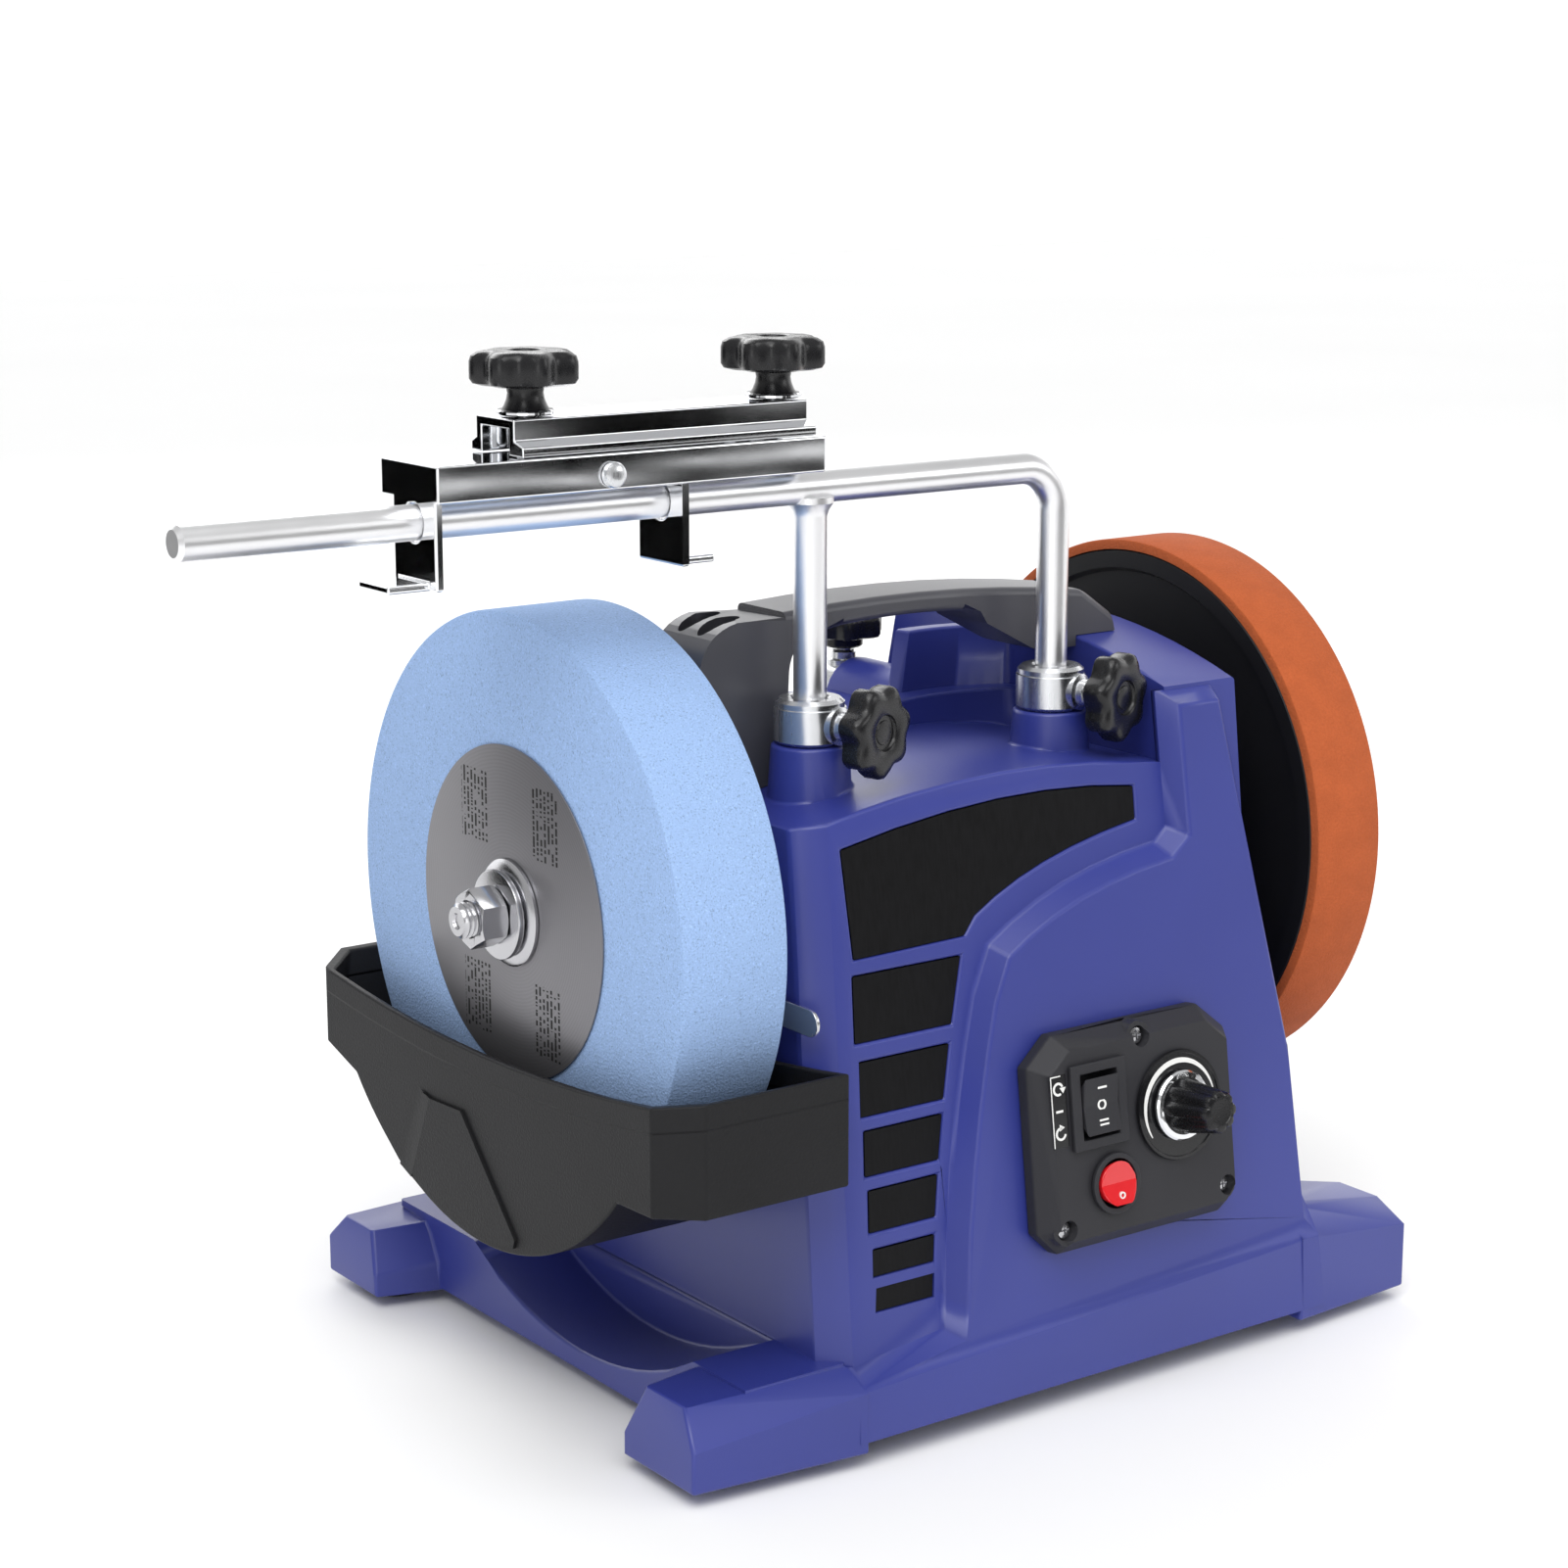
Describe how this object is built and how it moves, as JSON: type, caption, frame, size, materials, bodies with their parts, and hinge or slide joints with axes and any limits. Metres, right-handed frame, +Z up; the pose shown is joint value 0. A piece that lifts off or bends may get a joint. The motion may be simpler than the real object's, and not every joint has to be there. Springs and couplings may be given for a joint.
{
  "type": "wet grinding sharpener",
  "caption": "Two-wheel water-cooled sharpener: grinding wheel over a trough, leather honing wheel, tool support bar with a blade jig, and a control box on the front.",
  "frame": {"origin": "middle of the whole machine's footprint, on the bench surface under the rubber feet", "axes": "+X along the spindle from the grinding wheel to the honing wheel, +Y from the user's side to the back, +Z up"},
  "size_m": [0.457, 0.272, 0.3587],
  "materials": {
    "housing_blue": "satin moulded plastic with a fine grain",
    "black_plastic": "fine-grained moulded plastic",
    "trough_plastic": "grained moulded plastic",
    "panel_black": "fine-grained moulded plastic",
    "knob_plastic": "smooth satin plastic",
    "gloss_black": "glossy plastic",
    "red_plastic": "glossy translucent plastic",
    "rubber": "dull rubber",
    "chrome": "bright chrome",
    "plated_steel": "satin plated steel",
    "bright_steel": "turned bright steel",
    "motor_steel": "grey painted steel",
    "label_metal": "brushed foil",
    "grinding_stone": "fine open grit",
    "leather": "vegetable-tanned leather",
    "brass": "turned brass",
    "board": "lacquered circuit board"
  },
  "bodies": {
    "base": {"housing": "housing_blue", "window_grille": "black_plastic", "bottom_plate": "black_plastic", "foot_front_left": "rubber", "foot_rear_left": "rubber", "foot_front_right": "rubber", "foot_rear_right": "rubber", "carry_handle": "black_plastic", "support_sleeve_left": "plated_steel", "support_sleeve_right": "plated_steel", "rear_sleeve_left": "plated_steel", "rear_sleeve_right": "plated_steel", "spindle_bearing_left": "bright_steel", "bearing_holder_left": "black_plastic", "spindle_bearing_right": "bright_steel", "bearing_holder_right": "black_plastic", "motor_casing": "motor_steel", "motor_cradle": "motor_steel", "control_box": "panel_black", "control_screw_1": "plated_steel", "control_screw_2": "plated_steel", "control_screw_3": "plated_steel", "direction_switch_frame": "gloss_black", "power_switch_bezel": "gloss_black", "dial_plate": "gloss_black", "speed_potentiometer": "motor_steel", "control_board": "board", "power_inlet": "gloss_black", "latch_screw": "plated_steel"},
    "spindle_group": {"spindle": "bright_steel", "grinding_wheel": "grinding_stone", "wheel_label": "label_metal", "outer_flange": "bright_steel", "wheel_washer": "bright_steel", "wheel_nut": "bright_steel", "inner_flange": "black_plastic", "honing_wheel": "black_plastic", "honing_band": "leather", "honing_nut": "knob_plastic", "honing_spacer": "bright_steel", "drive_wheel": "black_plastic", "drive_tyre": "rubber"},
    "motor_rotor": {"motor_shaft": "bright_steel", "drive_roller": "brass"},
    "support": {"tool_support": "chrome"},
    "jig": {"jig_body": "chrome", "jig_screw": "plated_steel"},
    "jig_clamp": {"jig_clamp_bar": "chrome"},
    "jig_knob_left": {"jig_knob_left": "knob_plastic"},
    "jig_knob_right": {"jig_knob_right": "knob_plastic"},
    "support_knob_left": {"support_knob_left": "knob_plastic"},
    "support_knob_right": {"support_knob_right": "knob_plastic"},
    "rear_knob_left": {"rear_knob_left": "knob_plastic"},
    "rear_knob_right": {"rear_knob_right": "knob_plastic"},
    "speed_knob": {"speed_knob": "knob_plastic"},
    "direction_rocker": {"direction_rocker": "gloss_black"},
    "power_rocker": {"power_rocker": "red_plastic"},
    "trough": {"water_trough": "trough_plastic"},
    "trough_latch": {"trough_latch": "plated_steel"}
  },
  "joints": [
    {"name": "spindle_turn", "type": "hinge", "parent": "base", "child": "spindle_group", "pos_m": [0.0625, 0.00399, 0.17], "axis": [1, 0, 0], "continuous": true},
    {"name": "motor_turn", "type": "hinge", "parent": "base", "child": "motor_rotor", "pos_m": [0.1225, 0.02899, 0.10644], "axis": [1, 0, 0], "continuous": true},
    {"name": "support_height", "type": "slide", "parent": "base", "child": "support", "axis": [0, 0, 1], "range_m": [-0.025, 0.055]},
    {"name": "jig_slide", "type": "slide", "parent": "support", "child": "jig", "axis": [1, 0, 0], "range_m": [-0.06, 0.035]},
    {"name": "jig_clamp_lift", "type": "slide", "parent": "jig", "child": "jig_clamp", "axis": [0, 0, 1], "range_m": [0, 0.003]},
    {"name": "jig_knob_left_turn", "type": "hinge", "parent": "jig_clamp", "child": "jig_knob_left", "pos_m": [-0.1095, -0.04401, 0.34], "axis": [0, 0, 1], "range_deg": [0, 1080]},
    {"name": "jig_knob_right_turn", "type": "hinge", "parent": "jig_clamp", "child": "jig_knob_right", "pos_m": [-0.017, -0.04401, 0.34], "axis": [0, 0, 1], "range_deg": [0, 1080]},
    {"name": "support_knob_left_turn", "type": "hinge", "parent": "base", "child": "support_knob_left", "pos_m": [-0.0037, -0.04601, 0.232], "axis": [0.2924, -0.9563, 0], "range_deg": [0, 540]},
    {"name": "support_knob_right_turn", "type": "hinge", "parent": "base", "child": "support_knob_right", "pos_m": [0.0999, -0.04601, 0.232], "axis": [0.2924, -0.9563, 0], "range_deg": [0, 540]},
    {"name": "rear_knob_left_turn", "type": "hinge", "parent": "base", "child": "rear_knob_left", "pos_m": [0.0115, 0.09407, 0.208], "axis": [0, 0, 1], "range_deg": [0, 540]},
    {"name": "rear_knob_right_turn", "type": "hinge", "parent": "base", "child": "rear_knob_right", "pos_m": [0.1155, 0.09407, 0.208], "axis": [0, 0, 1], "range_deg": [0, 540]},
    {"name": "speed_turn", "type": "hinge", "parent": "base", "child": "speed_knob", "pos_m": [0.102, -0.10134, 0.09666], "axis": [0, -0.9917, 0.1289], "range_deg": [0, 270]},
    {"name": "direction_rock", "type": "hinge", "parent": "base", "child": "direction_rocker", "pos_m": [0.0665, -0.11237, 0.10495], "axis": [1, 0, 0], "range_deg": [-8, 8]},
    {"name": "power_rock", "type": "hinge", "parent": "base", "child": "power_rocker", "pos_m": [0.0718, -0.11598, 0.07718], "axis": [1, 0, 0], "range_deg": [0, 16]},
    {"name": "trough_drop", "type": "slide", "parent": "base", "child": "trough", "axis": [0, 0, 1], "range_m": [-0.035, 0]},
    {"name": "latch_swing", "type": "hinge", "parent": "base", "child": "trough_latch", "pos_m": [-0.0355, -0.06401, 0.145], "axis": [1, 0, 0], "range_deg": [-75, 0]}
  ],
  "couplings": [
    {"joint": "motor_turn", "follows": "spindle_turn", "ratio": -7.5},
    {"joint": "jig_knob_left_turn", "follows": "jig_clamp_lift", "rad_per_m": 6283.2},
    {"joint": "jig_knob_right_turn", "follows": "jig_clamp_lift", "rad_per_m": 6283.2}
  ]
}
